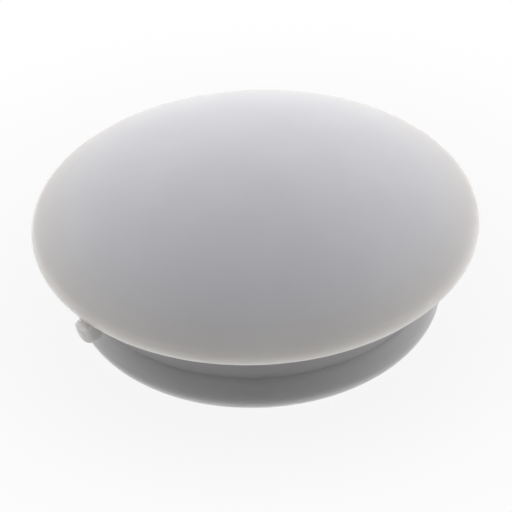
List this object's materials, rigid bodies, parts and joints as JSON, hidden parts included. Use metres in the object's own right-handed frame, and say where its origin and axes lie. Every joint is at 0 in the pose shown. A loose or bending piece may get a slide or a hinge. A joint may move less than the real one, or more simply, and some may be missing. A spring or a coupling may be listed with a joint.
{
  "type": "screw cover cap",
  "caption": "Push-in plastic screw cover cap: a shallow domed round head with a rounded rim over a short hollow plug that has a rounded snap bead, with a small gate stub under the rim.",
  "frame": {"origin": "on the cap's axis, in the plane of the flat ring under the rim that seats on the panel", "axes": "+Z along the cap's axis, out of the crown; the plug points down -Z; the gate stub is under the rim on the -X side"},
  "size_m": [0.0126, 0.0124, 0.0048],
  "materials": {
    "grey_plastic": "satin moulded, light grey"
  },
  "bodies": {
    "root": {"cover_cap": "grey_plastic"}
  },
  "joints": []
}
